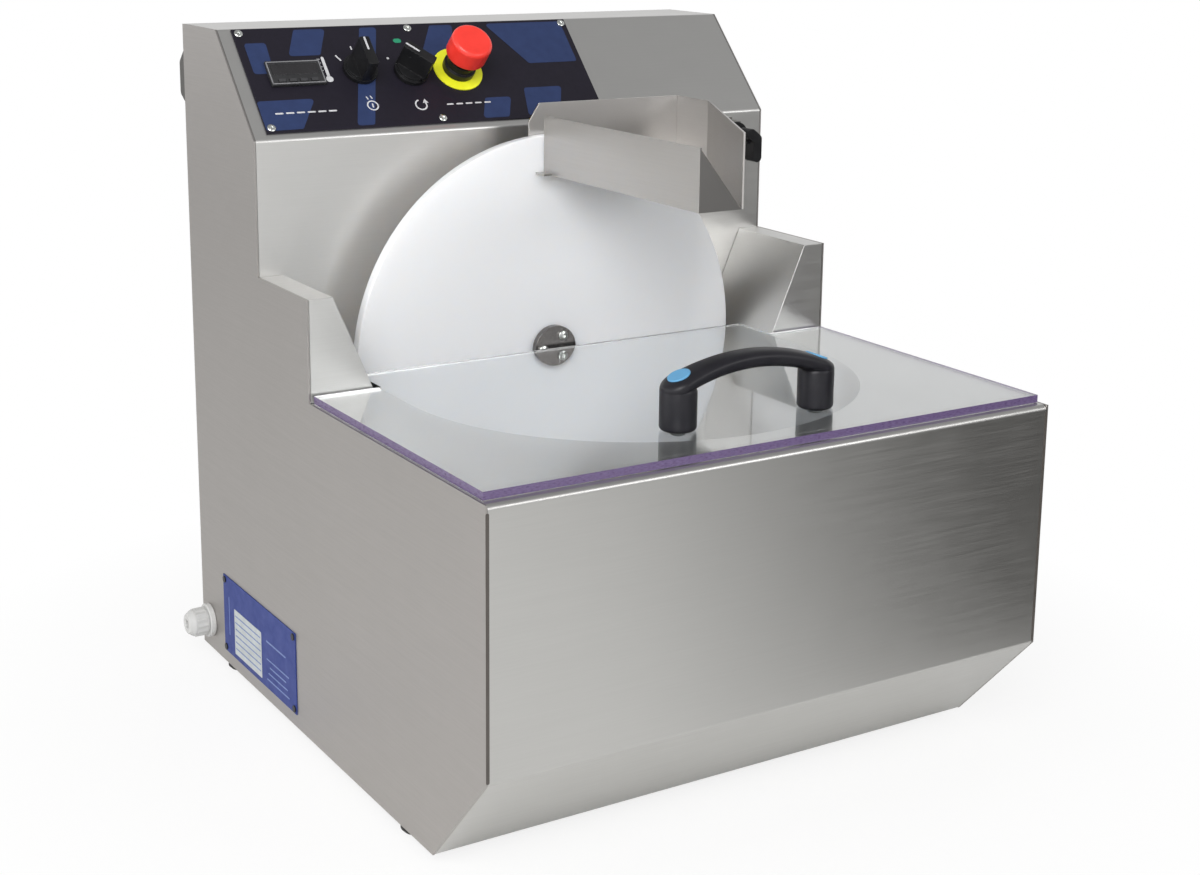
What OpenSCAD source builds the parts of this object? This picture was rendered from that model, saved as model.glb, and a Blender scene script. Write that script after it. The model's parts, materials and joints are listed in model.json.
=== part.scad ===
/* [Body] */
// Outer width of the housing
body_w = 500; // [470:1:560]
// Depth from the front panel to the rear panel
body_d = 541; // [500:1:600]
// Height from the lower edge of the side panels to the top
body_h = 560; // [545:1:620]
// Height of the deck around the tank
deck_h = 285; // [260:1:300]
// Depth of the tower at its foot
tower_d = 156; // [150:1:180]
// Height of the slanted control face
slant_h = 83; // [80:0.5:90]
// Depth of the slanted control face
slant_d = 78.5; // [75:0.5:85]
// Thickness of the folded sheet steel
sheet_t = 1.5; // [1.2:0.1:2]
// Inner radius of the bends in the sheet
bend_r = 3; // [1:0.5:4]
// Height of the slope at the foot of the front panel
toe_h = 87.5; // [80:0.5:95]
// Depth of the slope at the foot of the front panel
toe_d = 80; // [75:1:85]
// Height of the rubber feet below the side panels
foot_h = 8; // [6:0.5:12]

/* [Wings] */
// Depth of the wings before the tower
wing_d = 99.5; // [90:0.5:110]
// Height of the wings above the deck
wing_h = 82; // [70:1:95]
// Width of a wing at its top
wing_top_w = 22; // [18:1:28]
// Width of a wing where it meets the deck
wing_foot_w = 57; // [54:1:58]

/* [Tank] */
// Distance from the housing's side to the side of the tank
tank_side = 60; // [56:1:64]
// Distance from the front panel to the round front of the tank
tank_front = 35; // [30:1:40]
// Distance from the wheel's edge to the floor of the tank
tank_floor_gap = 10; // [5:1:20]
// Distance from the rear wall inside the tank to the tower
tank_back = 7; // [5:0.5:9]

/* [Wheel] */
// Gap between the wheel and the foot of the wings
wheel_gap = 9; // [6:0.5:14]
// Thickness of the chocolate wheel
wheel_t = 10; // [8:0.5:12]
// Distance from the front of the wheel to the tower
wheel_stand = 45; // [44:0.5:47]
// Height of the wheel's axis above the deck
wheel_rise = 4; // [3:0.5:6]
// Radius of the round flange on the wheel's front
hub_r = 20; // [18:0.5:24]
// Radius of the drive shaft
shaft_r = 8; // [6:0.5:8.5]

/* [Lid] */
// Thickness of the clear lid
lid_t = 6; // [4:0.5:7]
// Distance between the legs of the lid's handle
grip_span = 126; // [115:1:135]
// Radius of the legs of the lid's handle
grip_leg_r = 14; // [11:0.5:15]
// Height of the handle's legs above the lid
grip_leg_h = 41; // [36:1:46]
// Thickness of the handle's bar
grip_bar_t = 13; // [10:0.5:15]

/* [Spout] */
// Depth of the spout's floor below the top of the wheel
spout_dip = 32; // [25:1:40]
// Height of the spout's left wall
spout_h = 49; // [40:1:60]
// Length of the spout from its mouth to the wheel
spout_l = 229; // [210:1:245]

/* [Controls] */
// Width of the control plate
plate_w = 318; // [300:1:330]
// Length of the control plate up the slanted face
plate_l = 107; // [105:0.5:109]
// Radius of the knobs' skirts
knob_r = 15; // [12:0.5:16]
// Radius of the red stop button
stop_r = 18; // [15:0.5:20]
// Travel of the red stop button
stop_travel = 4; // [2:0.5:5]

/* [Hidden] */

// Clearances
panel_gap = 0.3;
hole_gap = 0.15;
seat_gap = 0.1;
run_gap = 0.06;
cut = 1;
curve_n = 64;
small_n = 32;
wheel_n = 180;
bend_steps = 6;
drill_l = 60;

// Housing, derived
half_w = body_w / 2;
inner_x = half_w - sheet_t;
tower_y = body_d - tower_d;
slant_z = body_h - slant_h;
slant_top_y = tower_y + slant_d;
wing_y = tower_y - wing_d;
wing_top = deck_h + wing_h;
gland_reach = 23;
gland_back = 19;
gland_y = body_d - gland_back;
gland_z = 26.5;
hood_reach = 17.5;
hood_in = 2.5;
hood_h = 47;
hood_drop = 66;
hood_z = body_h - hood_drop;
hood_lip = 6;
hood_slope_share = 0.68;
hood_screw_pitch = 102.5;
hood_screw_drop = 5;
slant_angle = atan2(slant_h, slant_d);
hem_l = 11;
flange_w = 15;
flange_in = 46;
rear_screw_in = 76;
vent_w = 25;
vent_h = 3;
vent_pitch_x = 41.5;
vent_pitch_z = 11.5;
vent_drop = 90;
deck_seam_y = 20;
rear_y = body_d - sheet_t;
rear_flange_y = rear_y - sheet_t - panel_gap;
base_z = sheet_t;
base_gap = 4;
base_front_y = toe_d + hem_l + base_gap;
base_slot_w = 3;
base_slot_l = 108;
base_slot_pitch = 50;

// Small screws: head radius, head height and shank radius
screw_head_r = 3.6;
screw_head_h = 2;
screw_r = 2;
screw_l = 9;
socket_share = 0.4;

// Tank and wheel, derived
wheel_r = half_w - wing_foot_w - wheel_gap;
wheel_y = tower_y - wheel_stand;
wheel_z = deck_h + wheel_rise;
tank_r = half_w - tank_side;
tank_y = tank_front + tank_r;
tank_floor_z = wheel_z - wheel_r - tank_floor_gap;
tank_back_y = tower_y - tank_back;
tank_t = 1.5;
probe_r = 3;
probe_l = 47;
probe_y = 130;
notch_gap = 5;
notch_r = shaft_r + notch_gap;
shaft_hole_gap = 1;
wheel_back_y = wheel_y + wheel_t;
shaft_flange_rim = 4;
shaft_flange_r = hub_r + shaft_flange_rim;
shaft_flange_t = 7;
hub_t = 6;
hub_screw_ring = 12.7;
hub_screw_r = 2.5;
hub_head_r = 4.4;
hub_head_h = 3;
hub_screw_l = 21;
shaft_end = 85;
seal_t = 3;
drive_y = tower_y + sheet_t;
drive_plate_t = 4;
drive_plate_w = 120;
gear_flange_t = 8;
gear_flange_w = 106;
gear_w = 72;
gear_l = 84;
gear_flange_y = drive_y + drive_plate_t;
gear_bolt_gap = 43;
gear_bolt_r = 3;
gear_bolt_head_r = 5;
gear_bolt_head_h = 5;
gear_bolt_l = 11;
motor_r = 41;
motor_core_r = 30;
rib_r = 33.5;
rib_t = 5;
motor_bolt_out = 26;
motor_bolt_l = 13;
capacitor_r = 14;
capacitor_l = 75;
capacitor_in = 37;
motor_l = 150;
motor_flange_t = 8;
motor_drop = 6;
motor_y = gear_flange_y + gear_flange_t + gear_l / 2;
motor_x = gear_w / 2;
motor_z = wheel_z - motor_drop;

// Lid, derived
lid_gap = 0.4;
lid_z = deck_h + lid_gap;
lid_top = lid_z + lid_t;
lid_side_gap = 3;
lid_front_y = 9;
lid_wing_gap = 3;
lid_rear_y = wing_y - lid_wing_gap;
lid_tongue_x = half_w - wing_foot_w - lid_wing_gap;
lid_wheel_gap = 12;
lid_tongue_y = wheel_y - lid_wheel_gap;
grip_x = 8.5;
grip_y = 67;
grip_rise = 12;
cap_t = 1.6;
cap_r = 9.2;
grip_step = 2;
grip_bar_w = 18;
grip_screw_r = 3;
grip_screw_head_r = 6;
grip_screw_head_h = 3;
grip_screw_l = 18;

// Spout, derived: the places along the width count from the housing's middle
slot_gap = 1;
spout_z = wheel_z + wheel_r - spout_dip;
spout_top = spout_z + spout_h;
spout_end_y = wheel_y - slot_gap;
spout_y = spout_end_y - spout_l;
spout_left_x = -10;
spout_right_x = 31;
spout_side_x = 133;
spout_side_l = 50;
spout_back_gap = 2;
spout_back_y = wheel_back_y + spout_back_gap;
spout_side_y = spout_back_y - spout_side_l;
spout_lip = 8;
spout_lip_l = 14;
spout_rise = 9;
spout_side_h = spout_h + spout_rise;
spout_floor_in = 2;
spout_round = 6;
back_chamfer_in = 3;
back_chamfer_out = 7;
back_chamfer_drop = 6;
arm_h = 24;
arm_gap = 0.5;
stud_in = 53;
stud_x = half_w - stud_in;
stud_rise = 19;
stud_z = spout_z + stud_rise;
stud_r = 3;
stud_nose = 20;
stud_tail = 2;
arm_end_x = stud_x - stud_r - arm_gap;
rest_in = 17;
rest_x = stud_x - rest_in;
rest_z = spout_z - stud_r - panel_gap;
rest_nose = 6;
hat_y = spout_back_y + sheet_t + panel_gap;
hat_in = 41;
hat_x = stud_x - hat_in;
hat_w = 60;
hat_leg = 12;
hat_drop = 11;
hat_z = spout_z - hat_drop;
hat_h = 42;
bracket_screw_l = 5.4;
knob_hub_r = 7;
knob_hub_l = 27;
knob_wing_w = 9;
knob_lobes = [[-52, 8], [180, 16]];
knob_wing_t = 14;
knob_flange_r = 12;
knob_flange_t = 2;
knob_back_y = spout_back_y - panel_gap;

// Controls, derived: places on the slanted face, from the housing's middle and its lower bend
plate_in = 13;
plate_x = plate_in - half_w;
plate_up = 6;
plate_t = 1.2;
plate_screw_in = 5;
controller_in = 54.6;
controller_x = controller_in - half_w;
controller_up = 64;
controller_w = 48;
controller_h = 25;
controller_rim = 3;
controller_depth = 60;
controller_body_w = 44;
controller_body_h = 21.6;
window_w = 41;
window_h = 11;
window_t = 1;
window_drop = 2;
key_w = 6;
key_h = 3;
key_t = 3;
key_travel = 0.6;
controller_face_z = plate_t + controller_rim;
key_floor_z = controller_face_z - key_t + key_travel;
key_gap = 0.25;
key_pitch = 9.6;
key_drop = 8;
heat_in = 113;
heat_x = heat_in - half_w;
heat_up = 65;
drum_in = 159;
drum_x = drum_in - half_w;
drum_up = 61;
knob_skirt_t = 4;
knob_bar_w = 9;
knob_bar_h = 23;
knob_mark_w = 2;
knob_mark_t = 0.6;
knob_bore_r = 3;
knob_step = 2;
knob_rim = 0.3;
switch_hole_r = 11;
switch_neck_r = 10.8;
switch_w = 30;
switch_h = 38;
switch_l = 42;
switch_stud_r = 2.9;
switch_stud_l = 14;
stop_in = 204;
stop_x = stop_in - half_w;
stop_up = 61;
ring_r = 22.5;
ring_t = 1.5;
collar_r = 14.5;
collar_h = 13;
collar_step = 2;
stem_r = 9;
stop_cap_z = 21.5;
stop_cap_h = 20.5;
stop_cap_round = 4;
stop_bevel = 1.5;
stem_top_z = 31;

// Plates and fittings, derived
data_in = 217;
data_y = body_d - data_in;
data_l = 161;
data_z = 11.5;
data_h = 71;
data_t = 0.8;
rivet_in = 4;
rivet_r = 1.6;
rivet_head_r = 3;
rivet_head_h = 1;
rivet_tail_r = 2.6;
rivet_tail_h = 1.5;
gland_thread_r = 10;
gland_hex_r = 15;
gland_hex_t = 5;
gland_cap_r = 12;
gland_bore_r = 4;
gland_neck_r = 8.5;
gland_neck_l = 10;
gland_thread_l = 12.5;
gland_dome_l = 5;
gland_dome_r = 8.5;
gland_lock_r = 14;
gland_nut_t = 5;
foot_r = 12;
foot_step = 2;
foot_recess = 4;
foot_in = 14;
foot_front_y = 134;
foot_rear_in = 57;
foot_rear_y = body_d - foot_rear_in;
foot_screw_r = 2.5;
foot_nut_r = 4.5;
foot_nut_h = 4;
foot_nut_gap = 1;
foot_head_h = 3;
foot_screw_l = foot_h - foot_recess + foot_head_h / 2 + base_z + sheet_t + foot_nut_h;
mat_t = 3;
mat_in = 16;

// Moves the housing's own zero point, on the mid-plane of the front panel at the lower edge of the
// side panels, so that the bottom centre of the whole part's outline is the origin
module place() {
    translate([gland_reach / 2, -(body_d + hood_reach) / 2, foot_h]) children();
}

// Extrudes a profile drawn in depth and height along the width
module across(from, length) {
    translate([from, 0, 0]) rotate([90, 0, 90]) linear_extrude(length) children();
}

// Extrudes a profile drawn in width and height along the depth
module along(from, length) {
    translate([0, from + length, 0]) rotate([90, 0, 0]) linear_extrude(length) children();
}

// A round bar along the depth
module bar_along(x, y, z, r, length, n = curve_n) {
    translate([x, y + length, z]) rotate([90, 0, 0]) cylinder(r = r, h = length, $fn = n);
}

// A round bar along the width
module bar_across(x, y, z, r, length, n = curve_n) {
    translate([x, y, z]) rotate([0, 90, 0]) cylinder(r = r, h = length, $fn = n);
}

// A round disc or bar standing on a height
module disc(r, from, h, n = curve_n) {
    translate([0, 0, from]) cylinder(r = r, h = h, $fn = n);
}

// A hole for a screw, to both sides of the plane at zero
module drill(r) {
    cylinder(r = r, h = drill_l, center = true, $fn = small_n);
}

// Stands its children on the slanted face: the second axis runs up the face, the third out of it
module on_slant(x = 0, up = 0, out = 0) {
    translate([0, tower_y, slant_z]) rotate([slant_angle, 0, 0]) translate([x, up, out]) children();
}

function unit(v) = v / norm(v);
function side_of(v) = [-v[1], v[0]];
function turn(a, b, c) = cross(b - a, c - b);

// Points of a rounded corner at b on the way from a to c
function corner(a, b, c, r) =
    let (
        back = unit(a - b),
        ahead = unit(c - b),
        half = acos(back * ahead) / 2,
        reach = r / tan(half),
        middle = b + unit(back + ahead) * r / sin(half),
        first = b + back * reach - middle,
        last = b + ahead * reach - middle,
        sweep = 2 * (90 - half)
    )
    [for (i = [0:bend_steps])
        middle + (first * sin(sweep * (1 - i / bend_steps)) + last * sin(sweep * i / bend_steps))
            / sin(sweep)];

// The path with each of its inner corners rounded
function rounded(p, t, r, outer) = [
    p[0],
    for (i = [1:len(p) - 2])
        each corner(p[i - 1], p[i], p[i + 1],
            (turn(p[i - 1], p[i], p[i + 1]) > 0) == outer ? r + t : r),
    p[len(p) - 1]
];

// The path moved sideways to its left
function beside(p, t) = [
    for (i = [0:len(p) - 1])
        let (
            before = side_of(unit(p[max(i, 1)] - p[max(i, 1) - 1])),
            after = side_of(unit(p[min(i, len(p) - 2) + 1] - p[min(i, len(p) - 2)]))
        )
        p[i] + (before + after) * t / (1 + before * after)
];

// A folded strip of sheet: the given path is its outer face, the sheet lies to the path's left
module strip(p, t = sheet_t, r = bend_r) {
    inner = rounded(beside(p, t), t, r, false);
    outline = rounded(p, t, r, true);
    polygon(concat(outline, [for (i = [len(inner) - 1:-1:0]) inner[i]]));
}

// A screw whose head stands on the plane at zero and whose shank goes down from it
module screw(head_r = screw_head_r, head_h = screw_head_h, r = screw_r, l = screw_l) {
    difference() {
        union() {
            intersection() {
                cylinder(r = head_r, h = head_h, $fn = small_n);
                translate([0, 0, head_h - 2 * head_r]) sphere(r = 2 * head_r, $fn = small_n);
            }
            translate([0, 0, -l]) cylinder(r = r, h = l + head_h / 4, $fn = small_n);
        }
        translate([0, 0, head_h / 2]) cylinder(r = head_r * socket_share, h = head_h, $fn = 6);
    }
}

// Side panels: the sheet carries the outline of the whole housing
module side_outline() {
    polygon([
        [toe_d, 0], [body_d, 0], [body_d, body_h], [slant_top_y, body_h], [tower_y, slant_z],
        [tower_y, wing_top], [wing_y, wing_top], [wing_y, deck_h], [0, deck_h], [0, toe_h]
    ]);
}

module side_panel() {
    across(inner_x, sheet_t) side_outline();
    translate([half_w - flange_w, rear_flange_y, flange_in])
        cube([flange_w - sheet_t / 2, sheet_t, body_h - 2 * flange_in]);
    translate([half_w - flange_w, base_front_y, 0])
        cube([flange_w - sheet_t / 2, rear_flange_y - base_front_y - panel_gap, sheet_t]);
}

module rear_screw_places() {
    for (x = [-1, 1], z = [rear_screw_in, body_h / 2, body_h - rear_screw_in])
        translate([x * (half_w - (flange_w + sheet_t) / 2), body_d, z]) rotate([-90, 0, 0]) children();
}

module foot_places() {
    for (x = [-1, 1], y = [foot_front_y, foot_rear_y])
        translate([x * (half_w - foot_in), y, 0]) children();
}

module side_panel_holes() {
    rear_screw_places() drill(screw_r + hole_gap);
    foot_places() drill(foot_screw_r + hole_gap);
}

module data_rivet_places() {
    for (y = [rivet_in, data_l - rivet_in], z = [rivet_in, data_h - rivet_in])
        translate([-half_w - data_t, data_y + y, data_z + z]) rotate([0, -90, 0]) children();
}

module rivet_holes() {
    data_rivet_places() drill(rivet_r + hole_gap);
}

module side_panel_left() {
    color("lightgray") difference() {
        mirror([1, 0, 0]) side_panel();
        side_panel_holes();
        rivet_holes();
        bar_across(-half_w - cut, gland_y, gland_z, gland_thread_r + hole_gap, sheet_t + 2 * cut);
    }
}

module side_panel_right() {
    color("lightgray") difference() {
        side_panel();
        side_panel_holes();
    }
}

// Front panel with its top bend, face, slope and lower hem
module front_panel() {
    color("lightgray") across(-inner_x + panel_gap, 2 * (inner_x - panel_gap)) strip([
        [deck_seam_y, deck_h], [0, deck_h], [0, toe_h], [toe_d, 0], [toe_d + hem_l, 0]
    ]);
}

module switch_holes(r) {
    for (place = [[heat_x, heat_up], [drum_x, drum_up], [stop_x, stop_up]])
        on_slant(place[0], place[1]) drill(r);
}

module controller_hole(extra) {
    on_slant(controller_x, controller_up)
        cube([controller_body_w + 2 * extra, controller_body_h + 2 * extra, drill_l], center = true);
}

module panel_screw_places() {
    for (i = [0:2], up = [plate_screw_in, plate_l - plate_screw_in])
        on_slant(plate_x + plate_screw_in + i * (plate_w - 2 * plate_screw_in) / 2, plate_up + up, plate_t)
            children();
}

module panel_screw_holes() {
    panel_screw_places() drill(screw_r + hole_gap);
}

module bracket_screw_places() {
    for (x = [hat_leg / 2, hat_w - hat_leg / 2])
        translate([hat_x + x, tower_y - sheet_t, hat_z + hat_h / 2]) rotate([90, 0, 0]) children();
}

module bracket_holes() {
    bracket_screw_places() drill(screw_r + hole_gap);
}

// Tower: top, slanted face and upright face folded from one sheet
module tower_shell() {
    color("lightgray") difference() {
        across(-inner_x + panel_gap, 2 * (inner_x - panel_gap)) strip([
            [rear_y - panel_gap, body_h], [slant_top_y, body_h], [tower_y, slant_z],
            [tower_y, deck_h + panel_gap]
        ]);
        switch_holes(switch_hole_r);
        controller_hole(panel_gap);
        panel_screw_holes();
        bracket_holes();
        bar_along(0, tower_y - cut, wheel_z, shaft_r + shaft_hole_gap, sheet_t + 2 * cut);
    }
}

module vent_slots(y) {
    for (x = [-4:4], z = [0:4])
        translate([x * vent_pitch_x - vent_w / 2, y - cut, body_h - vent_drop + z * vent_pitch_z])
            cube([vent_w, sheet_t + 2 * cut, vent_h]);
}

module hood_screw_places() {
    for (x = [-2:2])
        translate([x * hood_screw_pitch, body_d + sheet_t, body_h - hood_screw_drop])
            rotate([-90, 0, 0]) children();
}

module rear_panel() {
    color("lightgray") difference() {
        translate([-inner_x + panel_gap, rear_y, 0])
            cube([2 * (inner_x - panel_gap), sheet_t, body_h]);
        vent_slots(rear_y);
        rear_screw_places() drill(screw_r + hole_gap);
        hood_screw_places() drill(screw_r + hole_gap);
    }
}

module base_plate() {
    base_x = inner_x - panel_gap;
    color("lightgray") difference() {
        translate([-base_x, base_front_y, base_z])
            cube([2 * base_x, rear_flange_y - base_front_y - panel_gap, sheet_t]);
        foot_places() drill(foot_screw_r + hole_gap);
        for (x = [-3:3])
            translate([x * base_slot_pitch - base_slot_w / 2, body_d / 2, base_z - cut])
                cube([base_slot_w, base_slot_l, sheet_t + 2 * cut]);
    }
}

// Hood over the vent slots of the rear panel, open along its lower edge
module rear_hood() {
    hood_w = body_w - 2 * hood_in;
    out_y = body_d + hood_reach - sheet_t;
    profile = [
        [body_d, body_h - sheet_t], [body_d, hood_z + hood_h], [out_y, hood_z + hood_h * hood_slope_share],
        [out_y, hood_z + hood_lip], [body_d + hood_lip, hood_z]
    ];
    outline = rounded(beside(profile, sheet_t), sheet_t, bend_r, false);
    color("dimgray") difference() {
        union() {
            across(-hood_w / 2, hood_w) strip(profile, sheet_t, bend_r);
            for (x = [-hood_w / 2, hood_w / 2 - sheet_t])
                across(x, sheet_t) polygon(concat([[body_d, hood_z], [body_d, body_h - sheet_t]], outline));
        }
        hood_screw_places() drill(screw_r + hole_gap);
    }
}

module rear_screws() {
    color("silver") {
        rear_screw_places() screw();
        hood_screw_places() screw();
    }
}

module foot() {
    color("dimgray") difference() {
        union() {
            disc(foot_r - foot_step, -foot_h, foot_step);
            disc(foot_r, foot_step - foot_h, foot_h - foot_step);
        }
        disc(foot_nut_r + foot_nut_gap, -foot_h - cut, foot_recess + cut, small_n);
        drill(foot_screw_r + hole_gap);
    }
}

module feet() {
    foot_places() foot();
}

// Screw through each foot, flange and base plate, with its nut on top
module foot_screws() {
    color("silver") foot_places() {
        disc(foot_nut_r, foot_recess - foot_h - foot_head_h, foot_head_h, small_n);
        disc(foot_screw_r, foot_recess - foot_h - foot_head_h / 2, foot_screw_l, small_n);
        disc(foot_nut_r, base_z + sheet_t, foot_nut_h, 6);
    }
}

// Outline of the tank, round in front and straight behind
module tank_outline(extra) {
    full_r = tank_r + extra;
    intersection() {
        translate([0, tank_y]) circle(r = full_r, $fn = curve_n);
        translate([-full_r, tank_y - full_r]) square([2 * full_r, full_r]);
    }
    translate([-full_r, tank_y]) square([2 * full_r, tank_back_y + extra - tank_y]);
}

// Tank with its deck: the shaft passes through a notch in the rear wall
module tank() {
    color("lightgray") difference() {
        union() {
            translate([-inner_x + panel_gap, deck_seam_y + panel_gap, deck_h - sheet_t])
                cube([2 * (inner_x - panel_gap), tower_y + sheet_t - deck_seam_y - panel_gap, sheet_t]);
            translate([0, 0, tank_floor_z - tank_t])
                linear_extrude(deck_h - tank_floor_z + tank_t) tank_outline(tank_t);
        }
        translate([0, 0, tank_floor_z]) linear_extrude(deck_h) tank_outline(0);
        bar_along(0, tank_back_y - cut, wheel_z, notch_r, body_d);
    }
}

// Wing: top, leaning inner face and front face of one folded sheet
module wing_solid(inset, drop) {
    slope = (wing_foot_w - wing_top_w) / (wing_top - deck_h);
    lean = inset * norm([1, slope]) - inset * slope;
    foot_z = deck_h + panel_gap - drop;
    along(wing_y + inset, tower_y - wing_y - panel_gap) polygon([
        [inner_x - panel_gap, foot_z], [inner_x - panel_gap, wing_top - inset],
        [half_w - wing_top_w + lean, wing_top - inset],
        [half_w - wing_foot_w + lean - drop * slope, foot_z]
    ]);
}

module wing() {
    difference() {
        wing_solid(0, 0);
        wing_solid(sheet_t, cut);
        translate([cut, 0, 0]) wing_solid(sheet_t, cut);
    }
}

module wing_right() { color("lightgray") wing(); }
module wing_left() { color("lightgray") mirror([1, 0, 0]) wing(); }

module hub_screw_places() {
    for (a = [60, 180, 300])
        translate([hub_screw_ring * cos(a), wheel_y - hub_t, wheel_z + hub_screw_ring * sin(a)])
            rotate([90, 0, 0]) children();
}

module hub_screw_holes() {
    hub_screw_places() drill(hub_screw_r + run_gap);
}

module wheel() {
    color("white") difference() {
        bar_along(0, wheel_y, wheel_z, wheel_r, wheel_t, wheel_n);
        hub_screw_holes();
    }
}

module hub_flange() {
    color("silver") difference() {
        bar_along(0, wheel_y - hub_t, wheel_z, hub_r, hub_t);
        hub_screw_holes();
    }
}

module hub_screws() {
    color("silver") hub_screw_places()
        screw(hub_head_r, hub_head_h, hub_screw_r, hub_screw_l);
}

module wheel_shaft() {
    color("silver") difference() {
        union() {
            bar_along(0, wheel_back_y, wheel_z, shaft_flange_r, shaft_flange_t);
            bar_along(0, wheel_back_y, wheel_z, shaft_r, tower_y + shaft_end - wheel_back_y);
        }
        hub_screw_holes();
    }
}

module shaft_seal() {
    color("dimgray") difference() {
        bar_along(0, tower_y - seal_t, wheel_z, notch_r - shaft_hole_gap, seal_t);
        bar_along(0, tower_y - seal_t - cut, wheel_z, shaft_r + run_gap, seal_t + 2 * cut);
    }
}

module gear_bolt_places() {
    for (x = [-1, 1], z = [-1, 1])
        translate([x * gear_bolt_gap, gear_flange_y + gear_flange_t, wheel_z + z * gear_bolt_gap])
            rotate([-90, 0, 0]) children();
}

module gear_bolt_holes() {
    gear_bolt_places() drill(gear_bolt_r + run_gap);
}

// Plate behind the tower's face that carries the gearbox
module drive_plate() {
    color("lightgray") difference() {
        translate([-drive_plate_w / 2, drive_y, wheel_z - drive_plate_w / 2])
            cube([drive_plate_w, drive_plate_t, drive_plate_w]);
        bar_along(0, drive_y - cut, wheel_z, shaft_r + shaft_hole_gap, drive_plate_t + 2 * cut);
        gear_bolt_holes();
    }
}

module motor_bolt_places() {
    for (y = [-1, 1], z = [-1, 1])
        translate([motor_x + motor_flange_t, motor_y + y * motor_bolt_out, motor_z + z * motor_bolt_out])
            rotate([0, 90, 0]) children();
}

module motor_bolt_holes() {
    motor_bolt_places() drill(screw_r + run_gap);
}

// Worm gearbox: the drive shaft runs in its bore
module gearbox() {
    color("slategray") difference() {
        union() {
            translate([-gear_flange_w / 2, gear_flange_y, wheel_z - gear_flange_w / 2])
                cube([gear_flange_w, gear_flange_t, gear_flange_w]);
            translate([-gear_w / 2, gear_flange_y, wheel_z - gear_w / 2])
                cube([gear_w, gear_flange_t + gear_l, gear_w]);
        }
        bar_along(0, gear_flange_y - cut, wheel_z, shaft_r + run_gap, gear_flange_t + gear_l + 2 * cut);
        gear_bolt_holes();
        motor_bolt_holes();
    }
}

module gearbox_screws() {
    color("silver") gear_bolt_places()
        screw(gear_bolt_head_r, gear_bolt_head_h, gear_bolt_r, gear_bolt_l);
}

module motor() {
    ribs = 9;
    color("slategray") difference() {
        union() {
            bar_across(motor_x, motor_y, motor_z, motor_r, motor_flange_t);
            bar_across(motor_x, motor_y, motor_z, motor_core_r, motor_l);
            for (i = [1:ribs])
                bar_across(motor_x + i * motor_l / (ribs + 1), motor_y, motor_z, rib_r, rib_t);
        }
        motor_bolt_holes();
    }
}

module motor_screws() {
    color("silver") motor_bolt_places() screw(l = motor_bolt_l);
}

module motor_capacitor() {
    color("whitesmoke")
        bar_across(motor_x + capacitor_in, motor_y, motor_z + rib_r + capacitor_r, capacitor_r, capacitor_l);
}

// Lid with a tongue that reaches back between the wings
module lid_outline() {
    side_x = half_w - lid_side_gap;
    polygon([
        [-side_x, lid_front_y], [side_x, lid_front_y], [side_x, lid_rear_y],
        [lid_tongue_x, lid_rear_y], [lid_tongue_x, lid_tongue_y], [-lid_tongue_x, lid_tongue_y],
        [-lid_tongue_x, lid_rear_y], [-side_x, lid_rear_y]
    ]);
}

module grip_places() {
    for (x = [-1, 1])
        translate([grip_x + x * grip_span / 2, grip_y, lid_top]) children();
}

module lid() {
    color("lightcyan", 0.4) difference() {
        translate([0, 0, lid_z]) linear_extrude(lid_t) lid_outline();
        grip_places() drill(grip_screw_r + hole_gap);
    }
}

// Arched bar drawn in width and height, its ends inside the legs
module grip_arch() {
    half = grip_span / 2;
    rise = grip_rise;
    arch_r = (half * half + rise * rise) / (2 * rise);
    intersection() {
        translate([0, grip_leg_h + rise - arch_r]) difference() {
            circle(r = arch_r, $fn = curve_n * 2);
            circle(r = arch_r - grip_bar_t, $fn = curve_n * 2);
        }
        translate([-half, 0]) square([2 * half, grip_leg_h + rise + cut]);
    }
}

module lid_handle() {
    color("dimgray") difference() {
        union() {
            grip_places() {
                disc(grip_leg_r, grip_step, grip_leg_h - grip_step);
                disc(grip_leg_r - grip_step, 0, grip_leg_h);
            }
            translate([grip_x, 0, lid_top]) along(grip_y - grip_bar_w / 2, grip_bar_w) grip_arch();
        }
        grip_places() {
            disc(grip_screw_r + run_gap, -cut, grip_screw_l, small_n);
            disc(cap_r + panel_gap, grip_leg_h - cap_t / 2, grip_leg_h);
        }
    }
}

module handle_caps() {
    color("lightskyblue") grip_places() disc(cap_r, grip_leg_h - cap_t / 2, cap_t);
}

module handle_screws() {
    color("silver") grip_places() translate([0, 0, -lid_t]) mirror([0, 0, 1])
        screw(grip_screw_head_r, grip_screw_head_h, grip_screw_r, grip_screw_l - cap_t);
}

// A wall of the spout: a flat sheet between two points of its plan
module wall(a, b, z, h, t = sheet_t) {
    go = unit(b - a) * t;
    aside = side_of(go);
    translate([0, 0, z]) linear_extrude(h) polygon([a, b, b + aside, a + aside]);
}

// Left wall, its upper corner at the wheel rounded
module spout_left_wall() {
    across(spout_left_x, sheet_t) difference() {
        translate([spout_y, spout_z]) square([spout_l, spout_h]);
        translate([spout_end_y - spout_round, spout_top - spout_round]) difference() {
            square(spout_round + cut);
            circle(r = spout_round, $fn = small_n);
        }
    }
}

module spout_floor() {
    translate([0, 0, spout_z]) linear_extrude(sheet_t) polygon([
        [spout_left_x, spout_y], [spout_right_x - spout_floor_in, spout_y],
        [spout_side_x, spout_side_y], [spout_side_x, spout_end_y], [spout_left_x, spout_end_y]
    ]);
}

// Triangular flap that closes half of the spout's mouth
module spout_flap() {
    along(spout_y, sheet_t) polygon([
        [spout_left_x, spout_top], [spout_left_x, spout_z], [spout_right_x - spout_floor_in, spout_z]
    ]);
}

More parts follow.
